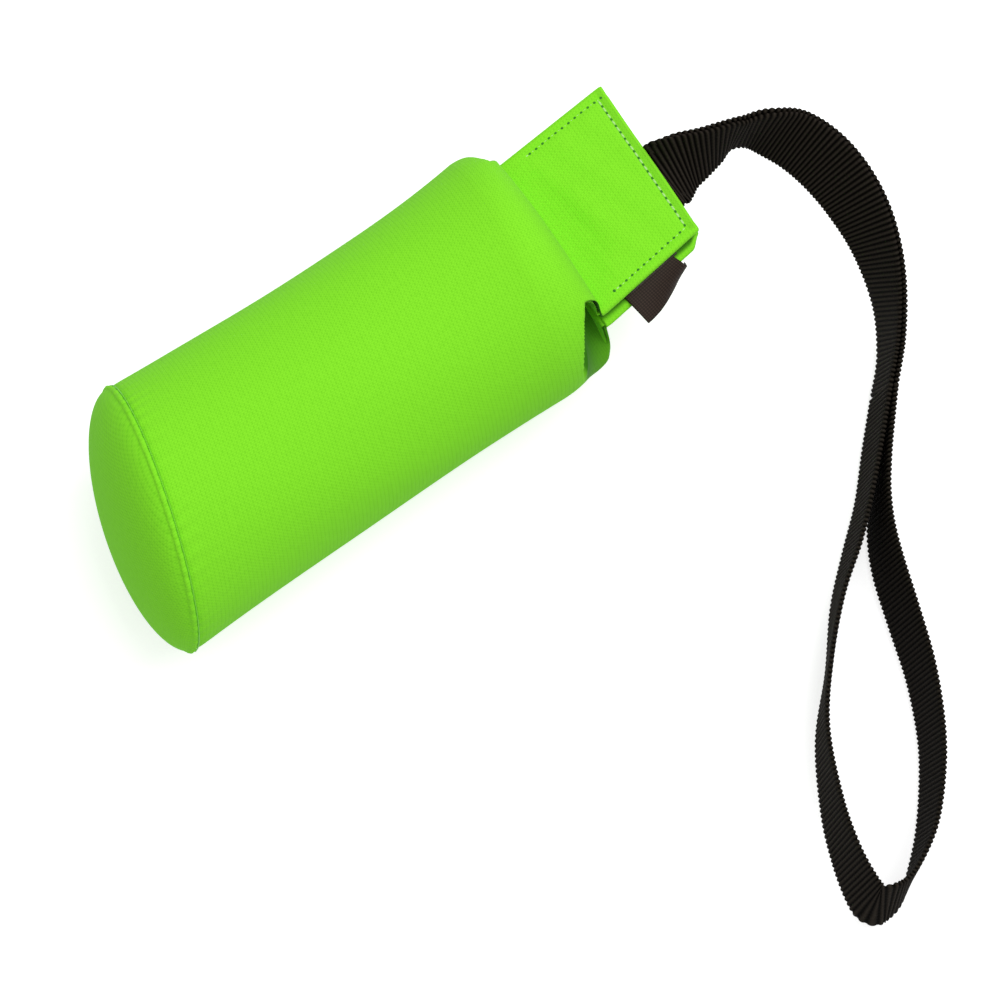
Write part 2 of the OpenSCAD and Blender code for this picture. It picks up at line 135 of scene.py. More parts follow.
def web_frame(line):
    """Place, direction, width and face of the webbing at each point: the width is
    the level left-hand direction, turned up about the line by the roll."""
    place = line[:, :3]
    along = unit(np.gradient(place, axis=0))
    left = unit(np.cross([0.0, 0.0, 1.0], along))
    up = np.cross(along, left)
    roll = np.radians(line[:, 3:4])
    return place, along, np.cos(roll)*left + np.sin(roll)*up, \
        np.cos(roll)*up - np.sin(roll)*left


def surface(name, grid, uv=None, wrap_rows=False, wrap_cols=False, caps=False):
    """Mesh of four-sided faces over a grid of points, closed round its rows or its
    columns as asked. The faces are turned so that the volume they hold is positive."""
    rows, cols = grid.shape[:2]
    i = np.arange(rows if wrap_rows else rows - 1)[:, None]
    j = np.arange(cols if wrap_cols else cols - 1)[None, :]
    i2, j2 = (i + 1) % rows, (j + 1) % cols
    quads = np.stack([i*cols + j, i*cols + j2, i2*cols + j2, i2*cols + j], -1)
    corners = np.stack(np.broadcast_arrays(
        i*(cols + 1) + j, i*(cols + 1) + j + 1, (i + 1)*(cols + 1) + j + 1,
        (i + 1)*(cols + 1) + j), -1).reshape(-1, 4)
    quads = quads.reshape(-1, 4)
    points = grid.reshape(-1, 3)
    a, b, c, d = (points[quads[:, k]] for k in range(4))
    volume = (np.cross(a, b)*c).sum() + (np.cross(a, c)*d).sum()
    ends = [list(range(cols)), list(range((rows - 1)*cols, rows*cols))[::-1]]
    if volume < 0:
        quads, corners = quads[:, ::-1], corners[:, ::-1]
    else:
        ends = [e[::-1] for e in ends]
    faces = quads.tolist() + (ends if caps else [])
    mesh = bpy.data.meshes.new(name)
    mesh.from_pydata(points.tolist(), [], faces)
    mesh.polygons.foreach_set("use_smooth", np.ones(len(faces), bool))
    if uv is not None:
        flat = np.zeros((len(mesh.loops), 2), np.float32)
        flat[:corners.size] = uv.reshape(-1, 2)[corners.ravel()]
        mesh.uv_layers.new(name="cloth").data.foreach_set("uv", flat.ravel())
    mesh.update()
    made = bpy.data.objects.new(name, mesh)
    bpy.context.collection.objects.link(made)
    return made


def linear(code):
    """sRGB hex colour as linear red, green, blue and alpha."""
    c = np.array([int(code[k:k + 2], 16) for k in (0, 2, 4)])/255
    c = np.where(c <= 0.04045, c/12.92, ((c + 0.055)/1.055)**2.4)
    return (*c.tolist(), 1.0)


def node(tree, kind, inputs=(), **settings):
    """Adds one node: settings are its properties, and inputs gives each socket a
    value or another node's output."""
    made = tree.nodes.new("ShaderNode" + kind)
    for key, value in settings.items():
        setattr(made, key, value)
    for key, value in dict(inputs).items():
        if isinstance(value, bpy.types.NodeSocket):
            tree.links.new(value, made.inputs[key])
        else:
            made.inputs[key].default_value = value
    return made


def finish_of(name, sockets):
    """New material with one Principled shader, its sockets set as given. Returns
    the material, its node tree and the shader."""
    made = bpy.data.materials.new(name)
    made.use_nodes = True
    shader = made.node_tree.nodes["Principled BSDF"]
    for key, value in sockets.items():
        shader.inputs[key].default_value = value
    return made, made.node_tree, shader


def wave_of(tree, source, pitch, shift=0.0, sharpness=1.0):
    """Height from 0 to 1 of a row of round threads: the size of the sine of the
    distance, one thread to each pitch, raised to a power that rounds it."""
    turns = node(tree, "Math", {0: source, 1: np.pi/pitch, 2: shift},
                 operation="MULTIPLY_ADD")
    size = node(tree, "Math", {0: node(tree, "Math", {0: turns.outputs[0]},
                                       operation="SINE").outputs[0]},
                operation="ABSOLUTE")
    return node(tree, "Math", {0: size.outputs[0], 1: sharpness},
                operation="POWER").outputs[0]


def web_finish():
    """Polypropylene webbing: yarn lies along it in floats about 0.9 mm wide, and
    each is tucked under at every rib. The ribs' crests carry painted light, a lighter
    colour mottled by noise, and the grooves keep the webbing's black."""
    yarn_pitch = 0.9*mm
    made, tree, shader = finish_of("polypropylene_webbing", {
        "Roughness": 0.7, "Specular IOR Level": 0.02})
    cloth = node(tree, "UVMap", uv_map="cloth")
    across = node(tree, "SeparateXYZ", {0: cloth.outputs[0]})
    yarn = wave_of(tree, across.outputs[0], yarn_pitch, 0.4, 0.6)
    fuzz = node(tree, "TexNoise", {"Vector": cloth.outputs[0], "Scale": 2600.0,
                                   "Detail": 3.0})
    height = node(tree, "Math", {0: fuzz.outputs[0], 1: 0.5, 2: yarn},
                  operation="MULTIPLY_ADD")
    rib = wave_of(tree, across.outputs[1], rib_pitch, 0.0, 2.4)
    mottle = node(tree, "Math", {0: fuzz.outputs[0], 1: 0.8, 2: 0.35},
                  operation="MULTIPLY_ADD")
    # painted light: the rib crests are mixed towards the lighter colour, mottled by noise
    crest = node(tree, "Math", {0: rib, 1: mottle.outputs[0]}, operation="MULTIPLY")
    tint = node(tree, "Mix", {0: crest.outputs[0], 6: linear(web_black),
                              7: linear(web_crest_lit)}, data_type="RGBA")
    bump = node(tree, "Bump", {"Height": height.outputs[0], "Strength": 0.5,
                               "Distance": 0.12*mm})
    tree.links.new(tint.outputs[2], shader.inputs["Base Color"])
    tree.links.new(bump.outputs[0], shader.inputs["Normal"])
    return made


webbing = web_finish()


def ribbon(name, line, side):
    """Webbing swept along a line, with its middle plane half a ply to one side of
    it. The section is a flat oval. The ribs raise both faces by a rounded sine of
    the distance along, and the edges are scalloped with them."""
    place, along, width, face = web_frame(line)
    step = np.linalg.norm(np.diff(place, axis=0), axis=1)
    run = np.concatenate([[0], np.cumsum(step)])
    round_a = np.radians(np.concatenate([[0, 30, 60], np.full(9, 90), [120, 150]]))
    half_run = np.concatenate([np.full(3, 1.0), np.linspace(1, -1, 9), np.full(2, -1.0)])
    round_a = np.concatenate([round_a, round_a + np.pi])
    half_run = np.concatenate([half_run, -half_run])
    rib = (np.abs(np.sin(np.pi*run*mm/rib_pitch))**0.8)[:, None]
    edge = web_t/2
    flat = web_w/2 - edge - scallop*(1 - rib)
    tall = edge - rib_depth*(1 - rib)
    q = flat*half_run[None, :] + edge*np.cos(round_a)[None, :]
    h = tall*np.sin(round_a)[None, :] + side
    grid = place[:, None]*mm + q[..., None]*width[:, None] + h[..., None]*face[:, None]
    girth = np.linspace(0, 2*(web_w + web_t), len(round_a) + 1)
    uv = np.stack(np.broadcast_arrays(girth[None, :], run[:, None]*mm), -1)
    made = surface(name, grid, uv, wrap_cols=True, caps=True)
    made.data.materials.append(webbing)
    return made, grid.mean(1), run[-1]*mm


rib_step = rib_pitch/mm/rings_in_a_rib
mid_ply = ply_gap + web_t/2
tab_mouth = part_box("tab_top_layer")[1][0]
web_level = doubled_route[0][2]*mm

doubled = smooth_line(doubled_route, rib_step)
fork_place, fork_face = (web_frame(doubled)[k][-1] for k in (0, 3))
fork_roll = doubled_route[-1][3]


def beside_fork(side, roll):
    """Point half a ply to one side of the doubled line's end, with its roll."""
    return [*(fork_place + side*mid_ply/mm*fork_face), roll]


upper_ply, upper_path, upper_length = ribbon("strap_upper", doubled, mid_ply)
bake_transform(upper_ply)
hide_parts("strap_upper_ply")

# The lower ply runs on through the fork and all the way round the loop.
lower = smooth_line(doubled_route, rib_step)
lower[:, :3] -= mid_ply/mm*web_frame(lower)[3]
round_loop = smooth_line([beside_fork(-1, fork_roll)] + loop_route
                         + [beside_fork(1, 180 - fork_roll)], rib_step)
whole = np.vstack([lower, round_loop[1:]])
lower_strap, lower_path, lower_length = ribbon("strap_lower_and_loop", whole, 0)
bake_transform(lower_strap)
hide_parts("strap_lower_ply", "hand_loop")

# The two ends lie flat, one on the other, sewn in between the layers of the tab.
for name, side_of in (("strap_upper_end", 1), ("strap_lower_end", -1)):
    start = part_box(name)[0][0]/mm
    flat = smooth_line([[start, *doubled_route[0][1:]], doubled_route[0]], rib_step)
    sewn_end, _, _ = ribbon(name + "_webbing", flat, side_of*mid_ply)
    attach(sewn_end, "tab")
    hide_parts(name)

# ---------- canvas skin: sleeve and tab ----------
# One piece of lime cotton canvas, sewn into a sleeve low on the left. Beyond the
# filling it is pressed flat, with its sides folded in between, and its mouth is
# turned in and topstitched, which makes the tab.

base_d, waist_d, shoulder_d = 67.0, 62.0, 64.5
bag_len, waist_at = 120.0, 0.72
base_x, end_x = -bag_len/2, bag_len/2
base_lean, base_tip, sag = 14.5, 8.0, 1.6
shoulder_r, shoulder_skew, roundness = 13.0, 4.5, 0.75
hollow_depth, hollow_rim = 13.0, 0.07
spread, leg_bulge = 2.2, 2.0
canvas_t, rim_r = 0.8, 0.9
bag_rows, turn_rows, tab_rows = 96, 66, 78
tab_root_w, tab_end_w = 47.5, 46.0
tab_root_y, tab_end_y = 0.6, 4.2
root_askew, far_askew = 0.7, 1.4
tab_z = web_level/mm
tab_far = tab_mouth/mm
tab_root_x = end_x + 1.5
gusset_depth, fold_gap = 11.0, 0.45
stitch_inset, row_w = 2.8, 0.8
# Half the tab's thickness, and how far parts of its faces rise or sink from that
tab_half_t, web_rise, slack_rise = 2.62, 0.42, 0.16
hollow_sink, far_row_sink, side_row_sink = 0.55, 0.4, 0.34
# How dark the painted shade is in the hollows, in the tab's folds and at its mouth
hollow_shade, fold_shade, mouth_shade = 0.9, 0.8, 0.18
canvas_lime = "83E126"
canvas_lime_deep = "71CE1B"
# colour of the painted shade in the folds and on the strip at the tab's mouth
canvas_shaded = "1F5E08"


def mix(a, b, t):
    """Straight-line blend from a, where t is 0, to b, where t is 1."""
    return a + (b - a)*t


def ease(t):
    """Smooth step: 0 below 0, 1 above 1, and level at both."""
    t = np.clip(t, 0, 1)
    return t*t*(3 - 2*t)


def above(z, low, blend_r=0.5):
    """The greater of z and low, rounded where they meet by a hyperbola."""
    return (z + low + np.sqrt((z - low)**2 + blend_r**2))/2


def girth_r(s):
    """Radius of the bag: two parabolas that meet at the waist."""
    to_base = (base_d - waist_d)/2*np.clip(1 - s/waist_at, 0, 1)**2
    to_shoulder = (shoulder_d - waist_d)/2*np.clip((s - waist_at)/(1 - waist_at), 0, 1)**2
    return waist_d/2 + to_base + to_shoulder


# Half-angle of the girth that becomes one face of the tab, and the columns of the
# skin's grid: an upper panel, the right fold, the lower panel and the left fold
panel_a = tab_root_w/shoulder_d
panel_cols, fold_cols = 84, 52
across = np.linspace(1, -1, panel_cols, endpoint=False)
down = np.linspace(1, -1, fold_cols, endpoint=False)
angle = np.concatenate([np.pi/2 - across*panel_a, np.pi - down*(np.pi/2 - panel_a),
                        1.5*np.pi - across*panel_a,
                        2*np.pi - down*(np.pi/2 - panel_a)])
is_panel = np.repeat([True, False, True, False],
                     [panel_cols, fold_cols, panel_cols, fold_cols])
part = np.concatenate([across, down, -across, -down])
face_up = np.concatenate([np.ones(panel_cols), np.sign(down), -np.ones(panel_cols),
                          -np.sign(down)])
side = np.repeat([0.0, -1.0, 0.0, 1.0], [panel_cols, fold_cols, panel_cols, fold_cols])
# How much of the lower layer's spread to the right each column takes
spilt = np.where(is_panel & (face_up < 0), ((1 - part)/2)**6, 0) \
    + np.where(side < 0, np.clip(-part/0.6, 0, 1), 0)


def wall(s, d):
    """Bag wall at s along it, set in by d: a circle of the bag's radius, leaned
    and tipped back at the base, and flattened where it rests on the ground. Long
    soft waves run round it, and small puckers fade away from the seam."""
    s = np.asarray(s, float)[:, None]
    r, lean = girth_r(s), -np.radians(base_lean)*(1 - s)
    tip = np.radians(base_tip)*(1 - s)
    start = end_x - shoulder_r + shoulder_skew*np.cos(angle)
    run = np.abs(s)*(start - base_x)
    slack = 0.22*np.sin(3*angle + 4*s + 0.6)*np.sin(np.pi*s) \
        + 0.12*np.sin(7*angle - 9*s)*np.sin(np.pi*s)
    pucker = 0.17*np.exp(-run/4.5)*np.sin(59*angle + 2*np.sin(7*angle)) \
        - 0.35*np.exp(-run/1.1)
    r = r + slack + pucker
    x = mix(base_x, start, s) - (r - d)*np.cos(angle)*np.sin(lean) \
        + (r - d)*np.sin(angle)*np.tan(tip)
    y = (r - d)*np.cos(angle)*np.cos(lean)
    z = above(girth_r(s) - sag + (r - d)*np.sin(angle), d)
    return np.stack(np.broadcast_arrays(x, y, z), -1)


def tab_top(x, f, d):
    """Height of the tab's outer face above its middle plane, f of the way from its
    middle to its sides, set in by d: full over the sewn webbing, hollow between it
    and the bag, sunk along the topstitching, and pressed down at the mouth."""
    t = (x - tab_root_x)/(tab_far - tab_root_x)
    y = mix(tab_root_y, tab_end_y, t) + f*mix(tab_root_w, tab_end_w, t)/2
    half = mix(tab_root_w, tab_end_w, t)/2
    over_web = ease((x - 69)/5)*ease((13 - np.abs(y + 1.5))/4)
    hollow = ease((x - 61)/4)*ease((72 - x)/6)*ease((0.85 - np.abs(f))/0.5)
    across_row = ease((0.92 - np.abs(f))/0.1)
    far_row = np.exp(-((x - tab_far + stitch_inset)/row_w)**2)*across_row
    side_row = np.exp(-((half*(1 - np.abs(f)) - stitch_inset)/row_w)**2)*ease((x - 66)/3)
    pressed = ease((x - tab_far + stitch_inset)/stitch_inset)
    slack = slack_rise*np.sin(0.62*x + 0.21*y)*ease((x - 66)/4)*across_row
    return tab_half_t + web_rise*over_web + slack - hollow_sink*hollow \
        - far_row_sink*far_row - side_row_sink*side_row \
        - mix(0.5, 0.8, over_web)*pressed - d


def askew(t, f):
    """How far the tab's left side, where f is 1, is drawn out past its middle, t
    of the way along it. The right side is drawn back as much."""
    return mix(root_askew, far_askew, t)*f


def tab_section(x, d):
    """Section of the tab at x, set in by d. The panels lie flat and roll over at
    their sides through a half circle into the folds, which meet in a V. The lower
    layer spreads a little to the right, past the upper one."""
    x = np.asarray(x, float)[:, None]
    t = np.clip((x - tab_root_x)/(tab_far - tab_root_x), 0, 1)
    half = mix(tab_root_w, tab_end_w, t)/2
    mid = mix(tab_root_y, tab_end_y, t)
    edge = tab_top(x, 1.0, d)
    roll_r = (edge + d - fold_gap)/2
    bend = np.clip((1 - np.abs(part))/0.14, 0, 1)*np.pi
    leg = np.clip((0.86 - np.abs(part))/0.86, 0, 1)
    deep = mix(gusset_depth, 4.5, t**0.6) + d
    panel_y = part*(half - roll_r)
    fold_y = side*(half - roll_r + (roll_r - d)*np.sin(bend) - leg*deep)
    panel_z = tab_top(x, part*(half - roll_r)/half, d)
    fold_z = edge + d - roll_r + (roll_r - d)*np.cos(bend)
    fold_z = fold_z*np.clip(np.abs(part)/0.08, 0, 1)
    y = np.where(is_panel, panel_y, fold_y) + mid \
        - spread*spilt*ease((1 - t)/0.12)
    z = np.where(is_panel, panel_z, fold_z)*face_up + tab_z
    x = x + askew(t, (y - mid)/half)
    return np.stack(np.broadcast_arrays(x, y, z), -1)


def fold_in(w):
    """How far the folded sides drop behind the rim at w, from 0 to 1. The rim runs
    back as a parabola from the upper crease."""
    w = np.asarray(w, float)[:, None]
    past_rim = ease((w - 0.12 - 0.3*part**2)/np.where(part > 0, hollow_rim, 0.5))
    under = np.where(part > 0, ease((1 - part)/0.12), (1 + part)**1.6)
    return past_rim*under*np.cos(np.pi/2*w)**roundness


def shoulder(w, d):
    """Shoulder at w, where the round girth closes on the tab's flat outline along
    a squarish quarter round. Each folded side drops behind a rim, and slopes out
    again to the lower crease."""
    w = np.asarray(w, float)[:, None]
    go = np.sin(np.pi/2*w)**roundness
    shut = 1 - np.cos(np.pi/2*w)**roundness
    p = wall([1.0], d)
    q = tab_section([end_x - d], d)
    hollow = hollow_depth*side*fold_in(w[:, 0])
    spill = spilt*(spread*(ease((w - 0.2)/0.4) - shut)
                   + leg_bulge*np.sin(np.pi*np.clip((w - 0.15)/0.85, 0, 1)))
    return np.stack([mix(p[..., 0], q[..., 0], go) + spill/2,
                     mix(p[..., 1], q[..., 1], shut) - hollow - spill,
                     mix(p[..., 2], q[..., 2], shut)], -1)


def skin_rows(d, fineness):
    """The whole skin set in by d, from the base seam to the mouth of the tab."""
    bag = wall(np.linspace(0, 1, bag_rows//fineness)**1.15, d)
    turn = shoulder(np.linspace(0, 1, turn_rows//fineness)[1:], d)
    tab = tab_section(np.linspace(end_x, tab_far - rim_r, tab_rows//fineness)[1:], d)
    return np.vstack([bag, turn, tab])


def rim_rows():
    """Turned-in mouth: the two thicknesses roll over in a half circle."""
    turns = np.linspace(0, np.pi, 9)[1:-1]
    return np.vstack([tab_section([tab_far - rim_r + rim_r*np.sin(turn)],
                                  canvas_t*(1 - np.cos(turn))/2) for turn in turns])


skin_grid = np.vstack([skin_rows(0.0, 1), rim_rows(), skin_rows(canvas_t, 3)[::-1]])
skin_run = np.concatenate([[0], np.cumsum(np.linalg.norm(
    np.diff(skin_grid[:, panel_cols//2], axis=0), axis=-1))])
skin_girth = shoulder_d/2*np.append(angle, angle[0] + 2*np.pi)
skin_uv = np.stack(np.broadcast_arrays(
    skin_girth[None, :], np.append(skin_run, skin_run[-1] + 1)[:, None]), -1)


def depth_of_shade():
    """Painted shade on the outside of the skin, from 0 to 1, that darkens its colour: in the
    folded sides, and on the strip of the tab between its far row of stitches and its mouth."""
    bag = np.zeros((bag_rows, part.size))
    w = np.linspace(0, 1, turn_rows)[1:, None]
    folded = hollow_shade*np.abs(side)*ease((w - 0.12 - 0.3*part**2)/0.1) \
        * np.where(part > 0, 1, np.clip(1 + part, 0, 1)**0.6)
    x = np.linspace(end_x, tab_far - rim_r, tab_rows)[1:, None]
    tab = fold_shade*np.abs(side)*ease((0.9 - np.abs(part))/0.2) \
        + mouth_shade*is_panel*ease((x - tab_far + stitch_inset)/0.8)
    return np.vstack([bag, folded, tab])


def canvas_finish(name, uses_uv):
    """Plain-woven cotton canvas, dull and dyed a clear lime: doubled threads about
    1 mm apart stand proud as ribs round the girth, over finer ones along the bag.
    Painted shade, read from the shade attribute, darkens its colour deep in its
    folds and on the strip at the tab's mouth."""
    rib_along = 1.04*mm
    thread_pitch = np.pi*shoulder_d*mm/400
    made, tree, shader = finish_of(name, {
        "Roughness": 0.85, "Specular IOR Level": 0.15, "Sheen Weight": 0.03,
        "Sheen Roughness": 0.5})
    source = node(tree, "UVMap", uv_map="cloth") if uses_uv else node(tree, "TexCoord")
    place = source.outputs[0] if uses_uv else source.outputs["Object"]
    split = node(tree, "SeparateXYZ", {0: place})
    column = node(tree, "Math", {0: split.outputs[0], 1: 1/thread_pitch},
                  operation="MULTIPLY")
    odd = node(tree, "Math", {0: node(tree, "Math", {0: column.outputs[0]},
                                      operation="FLOOR").outputs[0], 1: 2.0},
               operation="FLOORED_MODULO")
    half_turn = node(tree, "Math", {0: odd.outputs[0], 1: np.pi/2}, operation="MULTIPLY")
    turns = node(tree, "Math", {0: split.outputs[1], 1: np.pi/rib_along,
                                2: half_turn.outputs[0]}, operation="MULTIPLY_ADD")
    lift = node(tree, "Math", {0: node(tree, "Math", {0: turns.outputs[0]},
                                       operation="SINE").outputs[0]},
                operation="ABSOLUTE")
    warp = wave_of(tree, split.outputs[0], thread_pitch, 0.0, 0.5)
    rib = wave_of(tree, split.outputs[1], rib_along, 0.0, 0.8)
    weave = node(tree, "Math", {0: lift.outputs[0], 1: warp}, operation="MULTIPLY")
    ribbed = node(tree, "Math", {0: rib, 1: 0.6, 2: weave.outputs[0]},
                  operation="MULTIPLY_ADD")
    slub = node(tree, "TexNoise", {"Vector": place, "Scale": 700.0, "Detail": 4.0})
    height = node(tree, "Math", {0: slub.outputs[0], 1: 1.1, 2: ribbed.outputs[0]},
                  operation="MULTIPLY_ADD")
    shade = node(tree, "MapRange", {0: height.outputs[0], 1: 0.4, 2: 1.8})
    lit = node(tree, "Mix", {0: shade.outputs[0], 6: linear(canvas_lime_deep),
                             7: linear(canvas_lime)}, data_type="RGBA")
    # painted shade: the colour is mixed towards canvas_shaded by the skin's shade attribute
    deep = node(tree, "Attribute", attribute_name="shade")
    tint = node(tree, "Mix", {0: deep.outputs["Fac"], 6: lit.outputs[2],
                              7: linear(canvas_shaded)}, data_type="RGBA")
    bump = node(tree, "Bump", {"Height": height.outputs[0], "Strength": 0.4,
                               "Distance": 0.1*mm})
    tree.links.new(tint.outputs[2], shader.inputs["Base Color"])
    tree.links.new(bump.outputs[0], shader.inputs["Normal"])
    return made


canvas = canvas_finish("cotton_canvas", True)
skin = surface("canvas_skin", skin_grid*mm, skin_uv*mm, wrap_rows=True, wrap_cols=True)
skin.data.materials.append(canvas)
# painted shade: darkens the skin in its folded sides and hollows and on the strip at the tab's
# mouth
outside = depth_of_shade()
shade_at = np.zeros(skin_grid.shape[:2], np.float32)
shade_at[:len(outside)] = outside
skin.data.attributes.new("shade", "FLOAT", "POINT").data.foreach_set(
    "value", shade_at.ravel())
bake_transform(skin)
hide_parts("canvas_sleeve", "tab_top_layer", "tab_bottom_layer", "tab_top_hem",
            "tab_bottom_hem", "tab_left_fold", "tab_right_fold")

# ---------- base disc ----------
# A round of the same canvas sewn into the end of the sleeve. The filling domes
# it out, and the seam turned inside lifts its edge into a narrow ridge.

base_bulge, ridge_r = 11.5, 0.8
round_base = np.linspace(0, 2*np.pi, 360, endpoint=False)


def base_ring(r, out, d=0.0, a=round_base):
    """Ring of radius r standing out of the base seam, leaned and tipped with the
    base and kept above the ground."""
    r, out = np.asarray(r, float)[:, None], np.asarray(out, float)[:, None]
    lean, tip = -np.radians(base_lean), np.radians(base_tip)
    pucker = 0.10*np.sin(57*a) + 0.06*np.sin(91*a + 1.0)
    r = r + pucker*np.exp(-((out - ridge_r)/1.4)**2)
    x = base_x - out*np.cos(lean) - r*np.cos(a)*np.sin(lean) + r*np.sin(a)*np.tan(tip)
    y = -out*np.sin(lean) + r*np.cos(a)*np.cos(lean)
    z = above(base_d/2 - sag + r*np.sin(a) + out*np.sin(tip), d)
    return np.stack(np.broadcast_arrays(x, y, z), -1)


def dome(d, a=round_base):
    """Dome as part of an ellipse turned about the base's axis, set in by d."""
    t = np.radians(np.linspace(89.5, 9, 44))
    return base_ring((base_d/2 - d)*np.cos(t), (base_bulge - d)*np.sin(t), d, a)


roll = np.radians(np.linspace(75, -60, 12))
ridge = base_ring(base_d/2 - ridge_r/2 + ridge_r*np.cos(roll),
                  ridge_r*(1 + np.sin(roll)))
cap_grid = np.vstack([dome(0.0), ridge, dome(canvas_t)[::-3]])
cap_uv = np.stack([cap_grid[..., 1], cap_grid[..., 2]], -1)
cap_uv = np.concatenate([cap_uv, cap_uv[:, :1]], 1)
base_cap = surface("base_disc_canvas", cap_grid*mm, cap_uv*mm, wrap_cols=True, caps=True)
base_cap.data.materials.append(canvas)
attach(base_cap, "bag")
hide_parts("base_disc")

# ---------- topstitching ----------
# Lock stitches of pale green polyester along both sides and the mouth of the tab.
# They stand proud at the mouth and sink into the canvas at the sides, and dark
# dots of painted shade stand for the shaded needle holes between them.

stitch_len, stitch_pitch, stitch_r, stitch_flat = 1.5, 2.1, 0.32, 0.7
side_lift, mouth_lift = -0.16, 0.06
hole_len, hole_r, hole_flat = 0.85, 0.42, 0.3
thread_pale = "A8E07E"
# colour of the painted shade in the needle holes
hole_shade_green = "2C7A12"


def beads(name, centres, along, long, thick, z_part):
    """Row of small spindles: ellipsoids of the given length and thickness, turned
    along the row, with four rings of six points and a closed cap at each end."""
    t = np.linspace(0.12, np.pi - 0.12, 5)[:, None]
    a = np.linspace(0, 2*np.pi, 6, endpoint=False)[None, :]
    body = np.stack(np.broadcast_arrays(-np.cos(t)*long/2, np.sin(t)*np.cos(a)*thick,
                                        np.sin(t)*np.sin(a)*thick*z_part), -1)
    over = np.stack([-along[:, 1], along[:, 0], np.zeros(len(along))], -1)
    up = np.array([0.0, 0.0, 1.0])
    points = (centres[:, None, None] + body[None, ..., :1]*along[:, None, None]
              + body[None, ..., 1:2]*over[:, None, None] + body[None, ..., 2:]*up)
    rows, cols = 5, 6
    one = [[i*cols + j, i*cols + (j + 1) % cols, (i + 1)*cols + (j + 1) % cols,
            (i + 1)*cols + j] for i in range(rows - 1) for j in range(cols)]
    ends = [list(range(cols))[::-1], list(range((rows - 1)*cols, rows*cols))]
    faces = [[v + k*rows*cols for v in f] for k in range(len(centres))
             for f in one + ends]
    mesh = bpy.data.meshes.new(name)
    mesh.from_pydata((points.reshape(-1, 3)*mm).tolist(), [], faces)
    mesh.polygons.foreach_set("use_smooth", np.ones(len(faces), bool))
    made = bpy.data.objects.new(name, mesh)
    bpy.context.collection.objects.link(made)
    return made


def stitch_places():
    """Middle, direction and lift of every stitch on the tab's three rows."""
    def edge(x, sign):
        t = (x - tab_root_x)/(tab_far - tab_root_x)
        return mix(tab_root_y, tab_end_y, t) + sign*(
            mix(tab_root_w, tab_end_w, t)/2 - stitch_inset)
    near, far = tab_root_x + 5.5, tab_far - stitch_inset
    corners = [np.array([near, edge(near, 1)]), np.array([far, edge(far, 1)]),
               np.array([far, edge(far, -1)]), np.array([near, edge(near, -1)])]
    middles, ways, lifts = [], [], []
    for p, q, lift in zip(corners, corners[1:], (side_lift, mouth_lift, side_lift)):
        run = np.linalg.norm(q - p)
        at = np.arange(stitch_pitch/2, run, stitch_pitch)[:, None]
        middles.append(p + (q - p)*at/run)
        ways.append(np.broadcast_to((q - p)/run, (len(at), 2)))
        lifts.append(np.full((len(at), 1), lift))
    return np.vstack(middles), np.vstack(ways), np.vstack(lifts)


def part_of(at):
    """How far points lie from the middle of the tab to its sides, from -1 to 1."""
    t = (at[:, :1] - tab_root_x)/(tab_far - tab_root_x)
    return (at[:, 1:2] - mix(tab_root_y, tab_end_y, t))/mix(tab_root_w, tab_end_w, t)*2


def laid_on(at, sign, lift):
    """Points over the tab's plan, brought onto its upper face where sign is 1, or
    onto its lower face where it is -1, and askew with it."""
    f = part_of(at)
    t = (at[:, :1] - tab_root_x)/(tab_far - tab_root_x)
    return np.hstack([at[:, :1] + askew(t, f), at[:, 1:2],
                      tab_z + sign*(tab_top(at[:, :1], f, 0.0) + lift)])


middle, way, lift = stitch_places()
flat_way = np.hstack([way, np.zeros((len(way), 1))])
both = [laid_on(middle, sign, lift) for sign in (1, -1)]
stitches = beads("topstitch_thread", np.vstack(both), np.vstack([flat_way]*2),
                 stitch_len, stitch_r, stitch_flat)
# dark dots of painted shade where the needle holes sink into the canvas
hole_at = middle + way*stitch_pitch/2
both = [laid_on(hole_at, sign, 0.0) for sign in (1, -1)]
holes = beads("needle_holes", np.vstack(both), np.vstack([flat_way]*2),
              hole_len, hole_r, hole_flat)


def thread_finish(name, code, rough=0.6):
    """Spun polyester thread: a fine even twist with a soft dull shine."""
    made, tree, shader = finish_of(name, {"Roughness": rough, "Sheen Weight": 0.1})
    place = node(tree, "TexCoord").outputs["Object"]
    ply = node(tree, "TexWave", {"Vector": place, "Scale": 900.0, "Distortion": 1.0},
               bands_direction="DIAGONAL")
    tint = node(tree, "HueSaturation", {"Color": linear(code), "Value": 1.0})
    value = node(tree, "MapRange", {0: ply.outputs["Fac"], 3: 0.85, 4: 1.12})
    tree.links.new(value.outputs[0], tint.inputs["Value"])
    bump = node(tree, "Bump", {"Height": ply.outputs["Fac"], "Strength": 0.4,
                               "Distance": 0.05*mm})
    tree.links.new(tint.outputs[0], shader.inputs["Base Color"])
    tree.links.new(bump.outputs[0], shader.inputs["Normal"])
    return made


stitches.data.materials.append(thread_finish("spun_polyester_thread", thread_pale))
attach(stitches, "tab")
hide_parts("tab_topstitch")
# the needle holes get a dark green as painted shade, with the thread finish's twist pattern
holes.data.materials.append(thread_finish("needle_hole_painted_shade", hole_shade_green, 0.9))
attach(holes, "tab")

# ---------- side label ----------
# A folded tape of dark brown woven satin, sewn in along the right edge of the
# tab. It is left bare. Its free fold sags, and more so towards the far end.

label_len, label_out, label_ply = 16.1, 8.7, 0.34
label_shift = np.array([-2.0, 1.1, 0.0])
near_bend, far_bend, label_splay = 12, 138, 0.37
label_brown = "3A2E27"
label_dark = "1C1612"
edge_slope = np.arctan((tab_end_y - tab_root_y - (tab_end_w - tab_root_w)/2)
                       / (tab_far - tab_root_x))
label_root = [j for j in frame["joints"] if j["name"] == "label_flap"][0]
label_at = np.array(label_root["pos_m"])/mm + label_shift


